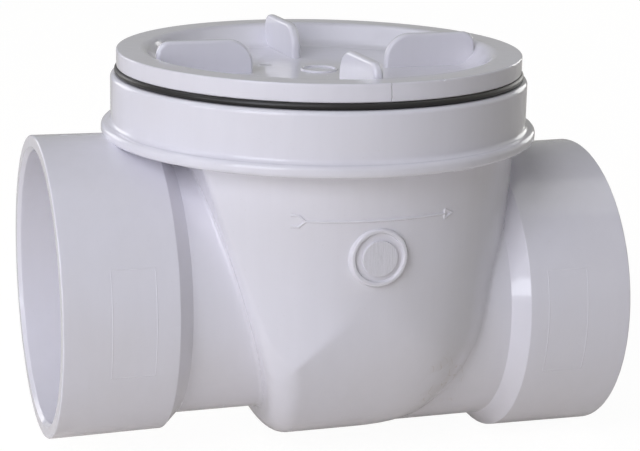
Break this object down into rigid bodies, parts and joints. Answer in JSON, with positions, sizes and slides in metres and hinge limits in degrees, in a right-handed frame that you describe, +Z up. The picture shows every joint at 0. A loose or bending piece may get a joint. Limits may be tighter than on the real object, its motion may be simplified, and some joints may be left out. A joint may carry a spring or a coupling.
{
  "type": "swing non-return valve",
  "caption": "In-line swing non-return valve for solvent-weld drain pipe, with a socket at each end, a hinged flap on a leaning seat and a screwed access cover.",
  "frame": {"origin": "centre of the plan, on the lowest line of the outlet hub; the cover's axis is the Z axis", "axes": "+X along the flow from inlet to outlet, +Z up through the access cover"},
  "size_m": [0.2434, 0.1854, 0.1785],
  "materials": {
    "white_pvc": "moulded, semi-gloss",
    "grey_pvc": "moulded, satin",
    "black_rubber": "smooth, lightly greased",
    "stainless": "turned"
  },
  "bodies": {
    "valve": {"valve_body": "white_pvc", "seat_ring": "grey_pvc", "hinge_bracket": "grey_pvc", "bracket_screws": "stainless", "hinge_pin": "stainless", "pin_clips": "stainless"},
    "cover_seal": {"cover_o_ring": "black_rubber"},
    "cover": {"access_cover": "white_pvc"},
    "flap": {"flap_disc": "grey_pvc", "flap_seal": "black_rubber", "seal_retainer": "stainless", "hinge_arm": "grey_pvc", "centre_bolt": "stainless", "centre_washer": "stainless", "centre_nut": "stainless"}
  },
  "joints": [
    {"name": "flap_swing", "type": "hinge", "parent": "valve", "child": "flap", "pos_m": [-0.04926, 0, 0.13995], "axis": [0, -1, 0], "range_deg": [0, 60]},
    {"name": "cover_lift", "type": "slide", "parent": "valve", "child": "cover_seal", "axis": [0, 0, 1], "range_m": [0, 0.015]},
    {"name": "cover_turn", "type": "hinge", "parent": "cover_seal", "child": "cover", "pos_m": [0, 0, 0.1659], "axis": [0, 0, 1], "range_deg": [0, 900]}
  ],
  "couplings": [
    {"joint": "cover_lift", "follows": "cover_turn", "m_per_rad": 0.00095493}
  ]
}
